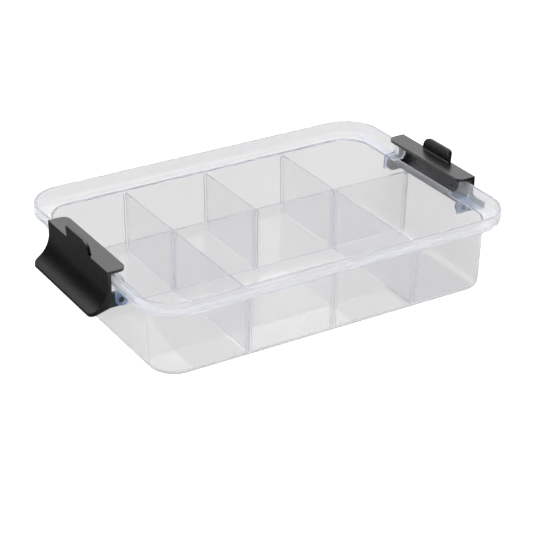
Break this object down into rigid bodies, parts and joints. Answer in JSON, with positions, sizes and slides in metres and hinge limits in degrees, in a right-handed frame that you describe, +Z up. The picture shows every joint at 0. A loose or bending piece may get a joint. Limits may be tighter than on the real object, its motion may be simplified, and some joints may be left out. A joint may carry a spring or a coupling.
{
  "type": "divided tackle box tray",
  "caption": "Shallow clear tray with a stepped rim, lift-out partitions in guide ribs, and a hinged black clip handle with a thumb tab on each end.",
  "frame": {"origin": "centre of the flat base, on the surface it rests on", "axes": "+X along the length towards the right latch, +Y from front to rear (the narrow row of compartments is at the rear), +Z up"},
  "size_m": [0.3376, 0.21, 0.0775],
  "materials": {
    "clear_plastic": "translucent moulded polypropylene, smooth satin gloss",
    "clear_partition": "translucent moulded polypropylene sheet, smooth",
    "black_plastic": "black moulded plastic, satin"
  },
  "bodies": {
    "root": {"tray": "clear_plastic"},
    "long_divider": {"long_divider": "clear_partition"},
    "rear_left_divider": {"rear_left_divider": "clear_partition"},
    "rear_middle_divider": {"rear_middle_divider": "clear_partition"},
    "rear_right_divider": {"rear_right_divider": "clear_partition"},
    "front_left_divider": {"front_left_divider": "clear_partition"},
    "front_right_divider": {"front_right_divider": "clear_partition"},
    "left_latch": {"left_latch": "black_plastic"},
    "right_latch": {"right_latch": "black_plastic"}
  },
  "joints": [
    {"name": "left_latch_hinge", "type": "hinge", "parent": "root", "child": "left_latch", "pos_m": [-0.1458, 0, 0.0452], "axis": [0, -1, 0], "range_deg": [0, 75]},
    {"name": "right_latch_hinge", "type": "hinge", "parent": "root", "child": "right_latch", "pos_m": [0.1458, 0, 0.0452], "axis": [0, 1, 0], "range_deg": [0, 75]},
    {"name": "long_divider_lift", "type": "slide", "parent": "root", "child": "long_divider", "axis": [0, 0, 1], "range_m": [0, 0.055]},
    {"name": "rear_left_divider_lift", "type": "slide", "parent": "root", "child": "rear_left_divider", "axis": [0, 0, 1], "range_m": [0, 0.055]},
    {"name": "rear_middle_divider_lift", "type": "slide", "parent": "root", "child": "rear_middle_divider", "axis": [0, 0, 1], "range_m": [0, 0.055]},
    {"name": "rear_right_divider_lift", "type": "slide", "parent": "root", "child": "rear_right_divider", "axis": [0, 0, 1], "range_m": [0, 0.055]},
    {"name": "front_left_divider_lift", "type": "slide", "parent": "root", "child": "front_left_divider", "axis": [0, 0, 1], "range_m": [0, 0.055]},
    {"name": "front_right_divider_lift", "type": "slide", "parent": "root", "child": "front_right_divider", "axis": [0, 0, 1], "range_m": [0, 0.055]}
  ]
}
